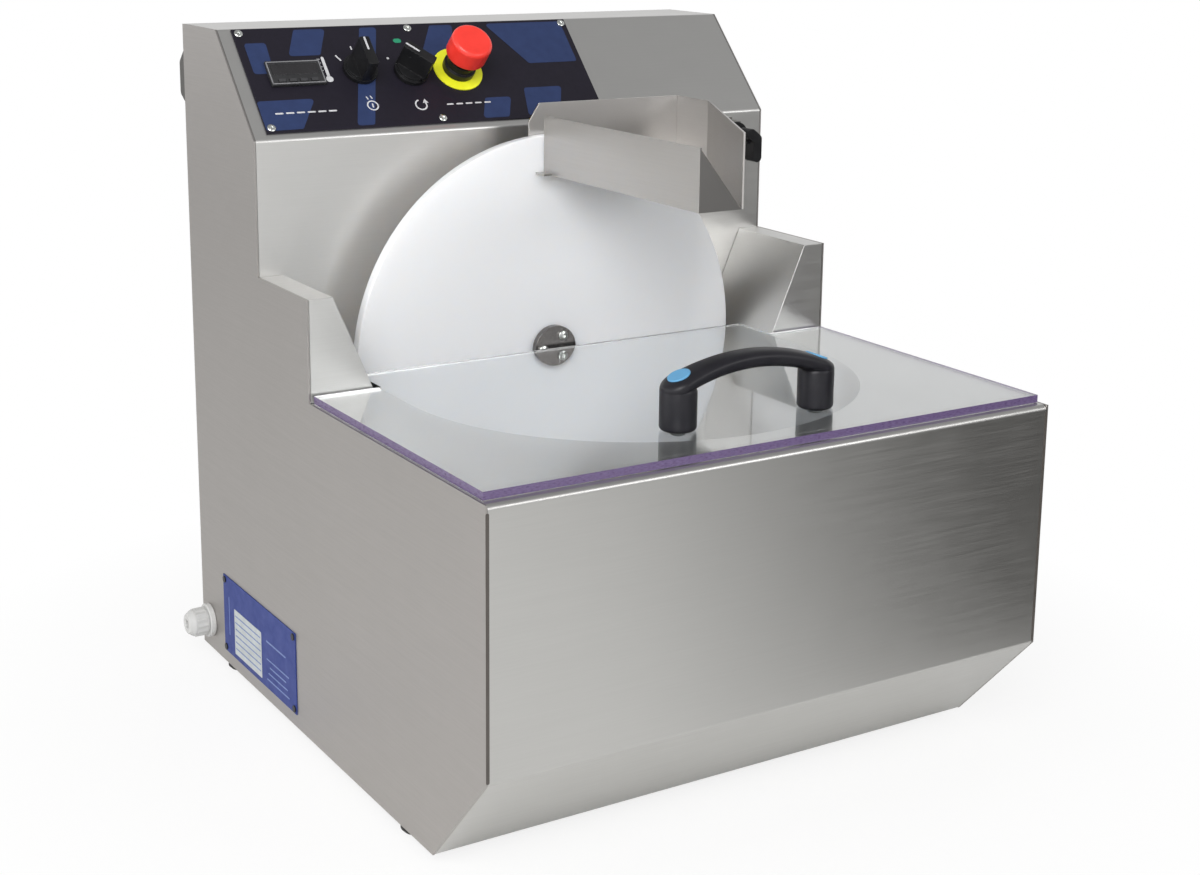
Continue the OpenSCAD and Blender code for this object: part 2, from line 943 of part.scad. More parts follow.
// Trough before the wheel, with a lip that reaches past its left wall
module spout() {
    color("lightgray") {
        spout_left_wall();
        wall([spout_right_x, spout_y], [spout_side_x, spout_side_y], spout_z, spout_side_h);
        translate([spout_left_x - spout_lip, spout_end_y - spout_lip_l, spout_z])
            cube([spout_lip + sheet_t, spout_lip_l, sheet_t]);
        spout_floor();
        spout_flap();
    }
}

// Straight wall welded to the trough and to the plate behind the wheel
module spout_side() {
    color("lightgray") translate([spout_side_x, spout_side_y, spout_z])
        cube([sheet_t, spout_side_l, spout_side_h]);
}

// Plate behind the wheel: its arm lies on the bracket
module spout_back() {
    color("lightgray") along(spout_back_y, sheet_t) polygon([
        [arm_end_x, spout_z], [arm_end_x, spout_z + arm_h],
        [spout_side_x + sheet_t, spout_z + arm_h], [spout_side_x + sheet_t, spout_z + spout_side_h],
        [spout_left_x + back_chamfer_in, spout_z + spout_side_h],
        [spout_left_x - back_chamfer_out, spout_top - back_chamfer_drop],
        [spout_left_x - back_chamfer_out, spout_z]
    ]);
}

// Hat-shaped bracket on the tower
module spout_bracket() {
    color("lightgray") difference() {
        translate([0, 0, hat_z]) linear_extrude(hat_h) difference() {
            union() {
                translate([hat_x, tower_y - sheet_t]) square([hat_w, sheet_t]);
                translate([hat_x + hat_leg, hat_y]) square([hat_w - 2 * hat_leg, tower_y - hat_y]);
            }
            translate([hat_x + hat_leg + sheet_t, hat_y + sheet_t])
                square([hat_w - 2 * (hat_leg + sheet_t), tower_y - hat_y]);
        }
        bracket_holes();
        for (place = [[stud_x, stud_z], [rest_x, rest_z]])
            bar_along(place[0], hat_y - cut, place[1], stud_r + run_gap, sheet_t + 2 * cut);
    }
}

// Pins fixed in the bracket: the knob turns on the upper one, the arm rests on the lower one
module bracket_pins() {
    tail_y = hat_y + sheet_t + stud_tail;
    color("silver") {
        bar_along(stud_x, knob_back_y - stud_nose, stud_z, stud_r, tail_y - knob_back_y + stud_nose);
        bar_along(rest_x, hat_y - rest_nose, rest_z, stud_r, tail_y - hat_y + rest_nose);
    }
}

module bracket_screws() {
    color("silver") bracket_screw_places() screw(screw_head_r, screw_head_h, screw_r, bracket_screw_l);
}

// Clamp knob with two lobes, each an angle and a reach: its flange presses the spout's arm
// against the bracket
module clamp_knob() {
    front_y = knob_back_y - knob_hub_l - knob_wing_t / 2;
    color("dimgray") difference() {
        union() {
            bar_along(stud_x, knob_back_y - knob_hub_l, stud_z, knob_hub_r, knob_hub_l, small_n);
            bar_along(stud_x, knob_back_y - knob_flange_t, stud_z, knob_flange_r, knob_flange_t);
            for (lobe = knob_lobes)
                translate([stud_x, 0, stud_z]) rotate([0, lobe[0], 0]) along(front_y, knob_wing_t) {
                    translate([-knob_wing_w / 2, 0]) square([knob_wing_w, lobe[1]]);
                    for (reach = [0, lobe[1]])
                        translate([0, reach]) circle(d = knob_wing_w, $fn = small_n);
                }
        }
        bar_along(stud_x, knob_back_y - stud_nose - cut, stud_z, stud_r + run_gap, stud_nose + 2 * cut,
            small_n);
    }
}

module control_plate() {
    color("midnightblue") difference() {
        on_slant(plate_x, plate_up) cube([plate_w, plate_l, plate_t]);
        switch_holes(switch_hole_r);
        controller_hole(panel_gap);
        panel_screw_holes();
    }
}

module panel_screws() {
    color("silver") panel_screw_places() screw();
}

// Lower left corner of one of the controller's four keys
module key_place(i) {
    on_slant(controller_x + (i - 3 / 2) * key_pitch - key_w / 2, controller_up - key_drop - key_h / 2)
        children();
}

module window_place() {
    on_slant(controller_x - window_w / 2, controller_up - window_drop, controller_face_z - window_t)
        children();
}

// Temperature controller: rim on the plate, body behind it, pockets for window and keys
module controller_body() {
    color("gray") difference() {
        on_slant(controller_x, controller_up, plate_t) union() {
            translate([-controller_w / 2, -controller_h / 2, 0])
                cube([controller_w, controller_h, controller_rim]);
            translate([-controller_body_w / 2, -controller_body_h / 2, -controller_depth])
                cube([controller_body_w, controller_body_h, controller_depth + controller_rim / 2]);
        }
        window_place() cube([window_w, window_h, window_t + cut]);
        for (i = [0:3])
            key_place(i) translate([-key_gap, -key_gap, key_floor_z])
                cube([key_w + 2 * key_gap, key_h + 2 * key_gap, key_t + cut]);
    }
}

module controller_window() {
    color("black") window_place() translate([seat_gap, seat_gap, 0])
        cube([window_w - 2 * seat_gap, window_h - 2 * seat_gap, window_t - seat_gap]);
}

module controller_key(i) {
    color("silver") key_place(i) translate([0, 0, key_floor_z + key_travel + seat_gap])
        cube([key_w, key_h, key_t - key_travel]);
}

module controller_key_1() { controller_key(0); }
module controller_key_2() { controller_key(1); }
module controller_key_3() { controller_key(2); }
module controller_key_4() { controller_key(3); }

// Selector knob: round skirt with a bar across it and a bore for the switch's stud
module knob(turned) {
    knob_h = knob_skirt_t + knob_bar_h;
    difference() {
        union() {
            disc(knob_r, 0, knob_skirt_t);
            disc(knob_r - knob_step, 0, knob_skirt_t + knob_step);
            rotate([0, 0, turned]) intersection() {
                translate([-knob_bar_w / 2, -knob_r, 0]) cube([knob_bar_w, 2 * knob_r, knob_h]);
                disc(knob_r - knob_rim, 0, knob_h);
            }
        }
        disc(knob_bore_r, -cut, switch_stud_l - plate_t, small_n);
        rotate([0, 0, turned]) translate([-knob_mark_w / 2, 0, knob_h - knob_mark_t])
            cube([knob_mark_w, knob_r, knob_mark_t + cut]);
    }
}

module switch_unit() {
    translate([-switch_w / 2, -switch_h / 2, -sheet_t - switch_l]) cube([switch_w, switch_h, switch_l]);
    disc(switch_neck_r, -2 * sheet_t, 2 * sheet_t + plate_t);
}

module selector_switch() {
    switch_unit();
    disc(switch_stud_r, 0, switch_stud_l - 2 * plate_t, small_n);
}

module heat_knob() {
    color("dimgray") on_slant(heat_x, heat_up, plate_t + panel_gap) knob(0);
}

module heat_switch() {
    color("gray") on_slant(heat_x, heat_up) selector_switch();
}

module wheel_knob() {
    color("dimgray") on_slant(drum_x, drum_up, plate_t + panel_gap) knob(45);
}

module wheel_switch() {
    color("gray") on_slant(drum_x, drum_up) selector_switch();
}

// Yellow disc behind the stop button
module stop_ring() {
    color("yellow") on_slant(stop_x, stop_up, plate_t) difference() {
        disc(ring_r, 0, ring_t);
        drill(switch_hole_r);
    }
}

module stop_collar() {
    color("dimgray") on_slant(stop_x, stop_up, plate_t + ring_t) difference() {
        union() {
            disc(collar_r, 0, collar_h / 2);
            disc(collar_r - collar_step, 0, collar_h);
        }
        drill(stem_r + run_gap);
    }
}

// Stem that slides in the collar and carries the button's head
module stop_stem() {
    color("dimgray") on_slant(stop_x, stop_up, plate_t + stop_travel + seat_gap)
        cylinder(r = stem_r, h = stem_top_z - plate_t - stop_travel, $fn = curve_n);
}

module stop_button() {
    color("red") on_slant(stop_x, stop_up, stop_cap_z) difference() {
        union() {
            cylinder(r1 = stop_r - stop_bevel, r2 = stop_r, h = stop_bevel, $fn = curve_n);
            disc(stop_r, stop_bevel, stop_cap_h - stop_bevel - stop_cap_round);
            translate([0, 0, stop_cap_h - stop_cap_round]) rotate_extrude($fn = curve_n) intersection() {
                union() {
                    square([stop_r - stop_cap_round, stop_cap_round]);
                    translate([stop_r - stop_cap_round, 0]) circle(r = stop_cap_round, $fn = curve_n);
                }
                square([stop_r, stop_cap_round]);
            }
        }
        disc(stem_r + run_gap, -cut, stem_top_z - stop_cap_z + 2 * seat_gap + cut);
    }
}

module stop_switch() {
    color("gray") on_slant(stop_x, stop_up) switch_unit();
}

// Cable gland: a screwed body with a nut inside the housing and a domed nut outside
module gland_body() {
    neck_x = -half_w - gland_hex_t - gland_neck_l;
    color("silver") difference() {
        union() {
            bar_across(-half_w - gland_hex_t, gland_y, gland_z, gland_hex_r, gland_hex_t);
            bar_across(neck_x, gland_y, gland_z, gland_neck_r, 2 * gland_neck_l);
            bar_across(-half_w - sheet_t, gland_y, gland_z, gland_thread_r, gland_thread_l);
        }
        bar_across(-half_w - gland_reach, gland_y, gland_z, gland_bore_r, 3 * gland_reach);
    }
}

module gland_nut() {
    cap_l = gland_reach - gland_hex_t - gland_dome_l;
    color("silver") difference() {
        union() {
            bar_across(-half_w - gland_hex_t - cap_l, gland_y, gland_z, gland_cap_r, cap_l);
            translate([-half_w - gland_reach, gland_y, gland_z]) rotate([0, 90, 0])
                cylinder(r1 = gland_dome_r, r2 = gland_cap_r, h = gland_dome_l, $fn = curve_n);
        }
        bar_across(-half_w - gland_hex_t - gland_neck_l - seat_gap, gland_y, gland_z,
            gland_neck_r + run_gap, 2 * gland_neck_l);
        bar_across(-half_w - gland_reach - cut, gland_y, gland_z, gland_bore_r, gland_reach);
    }
}

module gland_locknut() {
    color("silver") difference() {
        bar_across(-inner_x, gland_y, gland_z, gland_lock_r, gland_nut_t, 6);
        bar_across(-inner_x - cut, gland_y, gland_z, gland_thread_r + run_gap, gland_nut_t + 2 * cut);
    }
}

module data_plate() {
    color("royalblue") difference() {
        translate([-half_w - data_t, data_y, data_z]) cube([data_t, data_l, data_h]);
        rivet_holes();
    }
}

module data_plate_rivets() {
    grip_l = data_t + sheet_t;
    color("black") data_rivet_places() {
        disc(rivet_head_r, 0, rivet_head_h, small_n);
        disc(rivet_r, -grip_l - rivet_tail_h / 2, grip_l + rivet_tail_h, small_n);
        disc(rivet_tail_r, -grip_l - rivet_tail_h, rivet_tail_h, small_n);
    }
}

module heater_mat() {
    color("chocolate") translate([0, 0, tank_floor_z - tank_t - mat_t])
        linear_extrude(mat_t) tank_outline(-mat_in);
}

module temperature_probe() {
    color("silver") bar_across(0, probe_y, tank_floor_z - tank_t - mat_t - probe_r, probe_r, probe_l,
        small_n);
}

place() side_panel_left();
place() side_panel_right();
place() front_panel();
place() tower_shell();
place() rear_panel();
place() base_plate();
place() rear_hood();
place() rear_screws();
place() feet();
place() foot_screws();
place() tank();
place() wing_left();
place() wing_right();
place() wheel();
place() hub_flange();
place() hub_screws();
place() wheel_shaft();
place() shaft_seal();
place() drive_plate();
place() gearbox();
place() gearbox_screws();
place() motor();
place() motor_screws();
place() motor_capacitor();
place() lid();
place() lid_handle();
place() handle_caps();
place() handle_screws();
place() spout();
place() spout_side();
place() spout_back();
place() spout_bracket();
place() bracket_pins();
place() bracket_screws();
place() clamp_knob();
place() control_plate();
place() panel_screws();
place() controller_body();
place() controller_window();
place() controller_key_1();
place() controller_key_2();
place() controller_key_3();
place() controller_key_4();
place() heat_knob();
place() heat_switch();
place() wheel_knob();
place() wheel_switch();
place() stop_ring();
place() stop_collar();
place() stop_stem();
place() stop_button();
place() stop_switch();
place() gland_body();
place() gland_nut();
place() gland_locknut();
place() data_plate();
place() data_plate_rivets();
place() heater_mat();
place() temperature_probe();
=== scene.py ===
import json
import math

import bmesh
import bpy
from mathutils import Matrix, Vector


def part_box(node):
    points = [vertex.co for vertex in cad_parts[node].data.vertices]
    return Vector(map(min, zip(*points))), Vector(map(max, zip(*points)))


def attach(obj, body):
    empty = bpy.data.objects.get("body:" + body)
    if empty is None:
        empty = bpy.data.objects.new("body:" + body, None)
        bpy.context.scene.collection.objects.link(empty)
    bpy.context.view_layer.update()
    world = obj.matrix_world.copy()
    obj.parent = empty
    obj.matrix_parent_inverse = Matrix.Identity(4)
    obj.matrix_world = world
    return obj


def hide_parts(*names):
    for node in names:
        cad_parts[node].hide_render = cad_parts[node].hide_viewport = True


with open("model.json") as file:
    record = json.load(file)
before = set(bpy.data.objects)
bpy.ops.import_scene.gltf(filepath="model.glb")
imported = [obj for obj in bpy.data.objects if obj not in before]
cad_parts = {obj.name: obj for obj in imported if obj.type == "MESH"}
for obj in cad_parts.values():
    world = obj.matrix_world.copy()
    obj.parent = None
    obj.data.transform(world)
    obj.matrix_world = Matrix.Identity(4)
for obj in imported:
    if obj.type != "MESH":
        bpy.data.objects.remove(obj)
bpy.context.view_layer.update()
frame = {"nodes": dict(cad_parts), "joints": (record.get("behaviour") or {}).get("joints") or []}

NODES = frame["nodes"]
JOINTS = {joint["name"]: joint for joint in frame["joints"]}
MM = 0.001
PLATE_THICK = 1.2 * MM
PRINT_THICK = 0.12 * MM


# Places taken from the frame

def corners(node):
    """Lowest and highest corner of a CAD node as vectors."""
    low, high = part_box(node)
    return Vector(low), Vector(high)


def middle(node):
    """Middle of a CAD node's box."""
    low, high = corners(node)
    return (low + high) / 2


def turned_to(x_axis, y_axis, z_axis):
    """A matrix that turns a drawing's own axes to these directions."""
    return Matrix((x_axis, y_axis, z_axis)).transposed().to_4x4()


normal = Vector(JOINTS["heat_turn"]["axis"]).normalized()
uphill = Vector((0, normal.z, -normal.y))
plate_turn = turned_to((1, 0, 0), uphill, normal)
heat_at = Vector(JOINTS["heat_turn"]["pos_m"])
plate_low, plate_high = corners("control_plate")
plate_foot = (plate_low.z - heat_at.z) / uphill.z
plate_width = plate_high.x - plate_low.x
plate_length = (plate_high.z - plate_low.z - PLATE_THICK * normal.z) / uphill.z
plate_corner = Vector((plate_low.x, heat_at.y, heat_at.z)) + uphill * plate_foot + normal * PLATE_THICK


def above_plate(out):
    """A matrix that lays a flat drawing on the control plate, raised by a distance."""
    return Matrix.Translation(plate_corner + normal * out) @ plate_turn


def plate_place(point):
    """Where a point of the frame stands on the control plate, from its lower left corner."""
    offset = Vector(point) - plate_corner
    return offset.x, offset.dot(uphill)


def reach_out(node):
    """How far a CAD node stands out of the control plate's underside."""
    return max((vertex.co - heat_at).dot(normal) for vertex in NODES[node].data.vertices)


# Node materials

class ShaderTree:
    """A node tree and short ways to add to it."""

    def __init__(self, tree):
        self.tree = tree

    def add(self, kind, **values):
        """A new node with some of its properties set."""
        node = self.tree.nodes.new(kind)
        for key, value in values.items():
            setattr(node, key, value)
        return node

    def link(self, source, target):
        self.tree.links.new(source, target)

    def spread(self, source, low, high, start=0.3, end=0.7):
        """The source's values between start and end, spread from low to high."""
        node = self.add("ShaderNodeMapRange")
        node.inputs["From Min"].default_value = start
        node.inputs["From Max"].default_value = end
        node.inputs["To Min"].default_value = low
        node.inputs["To Max"].default_value = high
        self.link(source, node.inputs["Value"])
        return node.outputs["Result"]

    def calculate(self, operation, first, second):
        """The sum, product or other result of two outputs."""
        node = self.add("ShaderNodeMath", operation=operation)
        self.link(first, node.inputs[0])
        self.link(second, node.inputs[1])
        return node.outputs[0]

    def along(self, vector, direction):
        """How far a vector output reaches along a direction."""
        node = self.add("ShaderNodeVectorMath", operation="DOT_PRODUCT")
        node.inputs[1].default_value = direction
        self.link(vector, node.inputs[0])
        return node.outputs["Value"]

    def part(self, vector, axis):
        """One of a vector output's three parts."""
        node = self.add("ShaderNodeSeparateXYZ")
        self.link(vector, node.inputs["Vector"])
        return node.outputs[axis]

    def blend(self, factor, first, second):
        """A surface between two."""
        node = self.add("ShaderNodeMixShader")
        self.link(factor, node.inputs["Fac"])
        self.link(first, node.inputs[1])
        self.link(second, node.inputs[2])
        return node.outputs["Shader"]


class Shader(ShaderTree):
    """A material with one principled shader and short ways to set it."""

    def __init__(self, name, color, metallic=0.0, roughness=0.5):
        self.material = bpy.data.materials.new(name)
        self.material.use_nodes = True
        super().__init__(self.material.node_tree)
        self.principled = self.tree.nodes["Principled BSDF"]
        self.set("Base Color", (*color, 1.0))
        self.set("Metallic", metallic)
        self.set("Roughness", roughness)
        self.place = self.add("ShaderNodeTexCoord").outputs["Object"]

    def set(self, socket, value):
        self.principled.inputs[socket].default_value = value

    def noise(self, scale, stretch=(1, 1, 1), detail=4.0):
        """Noise in the object's own metres, stretched along an axis."""
        mapping = self.add("ShaderNodeMapping")
        mapping.inputs["Scale"].default_value = stretch
        self.link(self.place, mapping.inputs["Vector"])
        noise = self.add("ShaderNodeTexNoise")
        noise.inputs["Scale"].default_value = scale
        noise.inputs["Detail"].default_value = detail
        noise.inputs["Roughness"].default_value = 0.55
        self.link(mapping.outputs["Vector"], noise.inputs["Vector"])
        return noise.outputs["Fac"]

    def mix(self, factor, first, second):
        """A colour between two, each a colour or the output of a node."""
        factor_socket, first_color, second_color, mixed_color = 0, 6, 7, 2
        node = self.add("ShaderNodeMix", data_type="RGBA")
        self.link(factor, node.inputs[factor_socket])
        for socket, value in ((first_color, first), (second_color, second)):
            if isinstance(value, tuple):
                node.inputs[socket].default_value = (*value, 1.0)
            else:
                self.link(value, node.inputs[socket])
        return node.outputs[mixed_color]

    def color(self, source):
        self.link(source, self.principled.inputs["Base Color"])

    def roughness(self, source):
        self.link(source, self.principled.inputs["Roughness"])

    def bump(self, source, height):
        """Relief of a height in metres."""
        node = self.add("ShaderNodeBump")
        node.inputs["Distance"].default_value = height
        self.link(source, node.inputs["Height"])
        self.link(node.outputs["Normal"], self.principled.inputs["Normal"])

    def surface(self, source):
        """Shows a surface in place of the principled shader alone."""
        self.link(source, self.tree.nodes["Material Output"].inputs["Surface"])


# A noise is drawn out along the axis of its small scale
ALONG_X = (0.02, 1, 1)
ALONG_Y = (1, 0.02, 1)


def toned(color, share):
    """A colour at a share of its brightness."""
    return tuple(value * share for value in color)


def facing_front(shader):
    """1 on faces that look to the operator, 0 on all others; it masks the painted shade on front faces."""
    face_normal = shader.add("ShaderNodeNewGeometry").outputs["True Normal"]
    front = shader.add("ShaderNodeMath", operation="GREATER_THAN")
    front.inputs[1].default_value = 0.9
    shader.link(shader.along(face_normal, (0, -1, 0)), front.inputs[0])
    return front.outputs[0]


def sheet_steel(name, color, roughness, grain, painted_front_shade=1.0):
    """Brushed stainless sheet with its grain along one axis; its front faces can carry painted shade, a
    darker colour standing in for the dark reflection on them.
    """
    shader = Shader(name, color, 1.0, roughness)
    fine = shader.noise(900, grain, 3.0)
    cloud = shader.noise(5, detail=3.0)
    smudge = shader.noise(28, detail=5.0)
    tone = shader.mix(shader.spread(cloud, 0.0, 1.0), toned(color, 0.975), color)
    sheet = shader.mix(shader.spread(fine, 0.0, 0.08), tone, toned(color, 0.75))
    if painted_front_shade < 1.0:
        # painted shade: front faces get a darker copy of the colour, standing in for the dark reflection
        # they show
        sheet = shader.mix(facing_front(shader), sheet, toned(color, painted_front_shade))
    shader.color(sheet)
    handled = shader.spread(smudge, roughness - 0.01, roughness + 0.015)
    shader.roughness(shader.calculate("ADD", shader.spread(fine, -0.03, 0.03), handled))
    shader.bump(fine, 0.004 * MM)
    return shader.material


def turned_steel(name, color, roughness):
    """Machined or pressed bright metal with fine marks and dull spots."""
    shader = Shader(name, color, 1.0, roughness)
    marks = shader.noise(2600, (1, 0.05, 1), 2.0)
    spots = shader.noise(140)
    shader.color(shader.mix(shader.spread(spots, 0.0, 0.5), color, toned(color, 0.75)))
    shader.roughness(shader.spread(marks, roughness - 0.06, roughness + 0.08))
    shader.bump(marks, 0.004 * MM)
    return shader.material


def moulded(name, color, roughness, grain=420, relief=0.02 * MM, coat=0.0, shine=0.5):
    """Moulded plastic with a fine skin and slight wear in tone and gloss."""
    shader = Shader(name, color, 0.0, roughness)
    skin = shader.noise(grain * 10, detail=2.0)
    worn = shader.noise(60, detail=5.0)
    lighter = tuple(min(1.0, value * 1.12 + 0.006) for value in color)
    shader.color(shader.mix(shader.spread(worn, 0.0, 1.0), color, lighter))
    shader.roughness(shader.spread(worn, roughness - 0.04, roughness + 0.06))
    shader.bump(skin, relief)
    shader.set("Coat Weight", coat)
    shader.set("Specular IOR Level", shine)
    return shader.material


def printed(name, color, roughness=0.5):
    """A layer of ink or lacquer with a slight unevenness."""
    shader = Shader(name, color, 0.0, roughness)
    blot = shader.noise(90, detail=5.0)
    shader.color(shader.mix(shader.spread(blot, 0.0, 1.0), color, toned(color, 0.86)))
    shader.roughness(shader.spread(blot, roughness - 0.05, roughness + 0.08))
    shader.bump(shader.noise(1500), 0.006 * MM)
    shader.set("Specular IOR Level", 0.25)
    return shader.material


def clear_sheet(name):
    """Clear acrylic with a faint haze, which lets light through to what lies below it."""
    shader = Shader(name, (0.97, 0.985, 0.99), 0.0, 0.03)
    shader.set("IOR", 1.49)
    shader.set("Transmission Weight", 1.0)
    haze = shader.noise(14, detail=5.0)
    shader.roughness(shader.spread(haze, 0.015, 0.05))
    path = shader.add("ShaderNodeLightPath")
    passing = shader.add("ShaderNodeBsdfTransparent")
    passing.inputs["Color"].default_value = (0.93, 0.94, 0.95, 1.0)
    lit = shader.calculate("MAXIMUM", path.outputs["Is Shadow Ray"], path.outputs["Is Diffuse Ray"])
    shader.surface(shader.blend(lit, shader.principled.outputs["BSDF"], passing.outputs["BSDF"]))
    return shader.material


def sawn_edge(name):
    """The sawn edge of the acrylic sheet, which gathers a violet tint."""
    shader = Shader(name, (0.26, 0.19, 0.33), 0.0, 0.3)
    streak = shader.noise(300, (1, 1, 8), 3.0)
    shader.color(shader.mix(shader.spread(streak, 0.0, 1.0), (0.075, 0.045, 0.13), (0.16, 0.115, 0.23)))
    shader.roughness(shader.spread(streak, 0.22, 0.42))
    shader.set("Coat Weight", 0.2)
    return shader.material


def wheel_plastic(name):
    """White plate plastic with a faint cloud and the fine rings left by turning it."""
    shader = Shader(name, (0.83, 0.83, 0.86), 0.0, 0.3)
    cloud = shader.noise(9)
    shader.color(shader.mix(shader.spread(cloud, 0.0, 1.0), (0.93, 0.93, 0.955), (0.94, 0.94, 0.96)))
    shader.roughness(shader.spread(shader.noise(40), 0.3, 0.32))
    shader.bump(shader.noise(900, (1, 0.1, 1), 2.0), 0.002 * MM)
    shader.set("Coat Weight", 0.08)
    shader.set("Coat Roughness", 0.2)
    shader.set("Subsurface Weight", 0.65)
    shader.set("Subsurface Radius", (1.0, 0.9, 0.8))
    shader.set("Subsurface Scale", 24 * MM)
    return shader.material


def heater_rubber(name):
    """Orange heating mat with the weave of its wires showing."""
    color = (0.42, 0.13, 0.03)
    shader = Shader(name, color, 0.0, 0.6)
    weave = shader.add("ShaderNodeTexWave")
    weave.inputs["Scale"].default_value = 60
    shader.link(shader.place, weave.inputs["Vector"])
    shader.color(shader.mix(weave.outputs["Fac"], color, (0.3, 0.09, 0.02)))
    shader.bump(weave.outputs["Fac"], 0.2 * MM)
    return shader.material


side_steel = sheet_steel("side_steel", (0.44, 0.42, 0.405), 0.42, ALONG_Y)
front_steel = sheet_steel("front_steel", (0.57, 0.565, 0.55), 0.34, ALONG_X)
tower_steel = sheet_steel("tower_steel", (0.68, 0.675, 0.66), 0.36, ALONG_X)
tank_steel = sheet_steel("tank_steel", (0.62, 0.62, 0.61), 0.33, ALONG_X)
# the spout's front faces carry painted shade at 0.6 of the steel's brightness
spout_steel = sheet_steel("spout_steel", (0.52, 0.505, 0.49), 0.34, ALONG_Y, painted_front_shade=0.6)
arm_steel = sheet_steel("arm_steel", (0.66, 0.645, 0.63), 0.34, ALONG_Y)
# painted shade: the rear hood's steel is far darker than the other sheet steel, standing in for the shade on
# it
shaded_hood_steel = sheet_steel("shaded_hood_steel", (0.15, 0.145, 0.14), 0.45, ALONG_X)
bright_steel = turned_steel("bright_steel", (0.62, 0.61, 0.59), 0.26)
hub_steel = turned_steel("hub_steel", (0.2, 0.19, 0.185), 0.24)
screw_metal = turned_steel("screw_metal", (0.72, 0.74, 0.72), 0.2)
black_plastic = moulded("black_plastic", (0.007, 0.007, 0.008), 0.36, relief=0.006 * MM, shine=0.3)
handle_plastic = moulded("handle_plastic", (0.008, 0.0075, 0.011), 0.4, 260, 0.008 * MM, shine=0.3)
cap_plastic = moulded("cap_plastic", (0.11, 0.33, 0.56), 0.35)
grey_plastic = moulded("grey_plastic", (0.42, 0.42, 0.41), 0.5)
gland_plastic = moulded("gland_plastic", (0.52, 0.52, 0.51), 0.45)
bezel_plastic = moulded("bezel_plastic", (0.02, 0.02, 0.022), 0.3, relief=0.006 * MM)
# painted highlight: pale grey of the frame that stands in for the highlight on the controller's rim
painted_rim_highlight = moulded("painted_rim_highlight", (0.2, 0.2, 0.21), 0.35)
window_plastic = moulded("window_plastic", (0.012, 0.011, 0.013), 0.12, relief=0.004 * MM, coat=0.5)
key_plastic = moulded("key_plastic", (0.035, 0.035, 0.038), 0.4)
yellow_plastic = moulded("yellow_plastic", (0.83, 0.85, 0.02), 0.45)
red_plastic = moulded("red_plastic", (0.82, 0.035, 0.022), 0.38, relief=0.01 * MM, coat=0.15)
rubber = moulded("rubber", (0.02, 0.019, 0.018), 0.7, 200, 0.04 * MM)
pale_plastic = moulded("pale_plastic", (0.7, 0.7, 0.66), 0.5)
housing_paint = moulded("housing_paint", (0.11, 0.14, 0.18), 0.42, 120, 0.06 * MM)
# painted shade: dark colour of the strips down the front corners, standing in for shade and dark reflection
painted_corner_shade = moulded("painted_corner_shade", (0.06, 0.052, 0.046), 0.4, 300, 0.01 * MM)
plate_ground = printed("plate_ground", (0.012, 0.01, 0.018))
plate_blue = printed("plate_blue", (0.025, 0.042, 0.118))
data_blue = printed("data_blue", (0.03, 0.05, 0.22))
data_silver = printed("data_silver", (0.5, 0.53, 0.53))
ink_white = printed("ink_white", (0.62, 0.62, 0.64), 0.42)
ink_green = printed("ink_green", (0.03, 0.3, 0.16), 0.42)
ink_pale_blue = printed("ink_pale_blue", (0.17, 0.23, 0.45), 0.42)
lid_clear = clear_sheet("lid_clear")
lid_edge = sawn_edge("lid_edge")
wheel_white = wheel_plastic("wheel_white")
heater_orange = heater_rubber("heater_orange")

FINISH = {
    "side_panel_left": side_steel, "side_panel_right": side_steel, "front_panel": front_steel,
    "tower_shell": tower_steel, "rear_panel": side_steel, "base_plate": side_steel,
    "rear_hood": shaded_hood_steel, "rear_screws": screw_metal, "feet": rubber,
    "foot_screws": bright_steel, "tank": tank_steel, "wing_left": tower_steel,
    "wing_right": tower_steel, "wheel": wheel_white, "hub_flange": hub_steel,
    "hub_screws": screw_metal, "wheel_shaft": bright_steel, "shaft_seal": rubber,
    "drive_plate": side_steel, "gearbox": housing_paint, "gearbox_screws": screw_metal,
    "motor": housing_paint, "motor_screws": screw_metal, "motor_capacitor": pale_plastic,
    "lid": lid_clear, "lid_handle": handle_plastic, "handle_caps": cap_plastic,
    "handle_screws": screw_metal, "spout": spout_steel, "spout_side": arm_steel,
    "spout_back": arm_steel, "spout_bracket": spout_steel, "bracket_pins": bright_steel,
    "bracket_screws": screw_metal, "clamp_knob": black_plastic, "control_plate": plate_ground,
    "panel_screws": screw_metal, "controller_body": bezel_plastic,
    "controller_window": window_plastic, "controller_key_1": key_plastic,
    "controller_key_2": key_plastic, "controller_key_3": key_plastic,
    "controller_key_4": key_plastic, "heat_knob": black_plastic, "heat_switch": grey_plastic,
    "wheel_knob": black_plastic, "wheel_switch": grey_plastic, "stop_ring": yellow_plastic,
    "stop_collar": black_plastic, "stop_stem": black_plastic, "stop_button": red_plastic,
    "stop_switch": grey_plastic, "gland_body": gland_plastic, "gland_nut": gland_plastic,
    "gland_locknut": grey_plastic, "data_plate": data_blue, "data_plate_rivets": black_plastic,
    "heater_mat": heater_orange, "temperature_probe": bright_steel,
}
EDGE_WIDTH = {
    "wing_left": 3.0 * MM, "wing_right": 3.0 * MM, "clamp_knob": 2.2 * MM, "gearbox": 2.0 * MM,
    "wheel": 1.2 * MM, "motor": 1.2 * MM, "gland_nut": 1.0 * MM, "feet": 1.0 * MM,
    "gland_body": 0.8 * MM, "heat_knob": 0.7 * MM, "wheel_knob": 0.7 * MM,
    "stop_collar": 0.7 * MM, "lid": 0.5 * MM, "stop_button": 0.5 * MM, "hub_flange": 0.5 * MM,
    "controller_body": 0.4 * MM, "stop_ring": 0.3 * MM,
}
SHEET_EDGE_WIDTH = 0.22 * MM


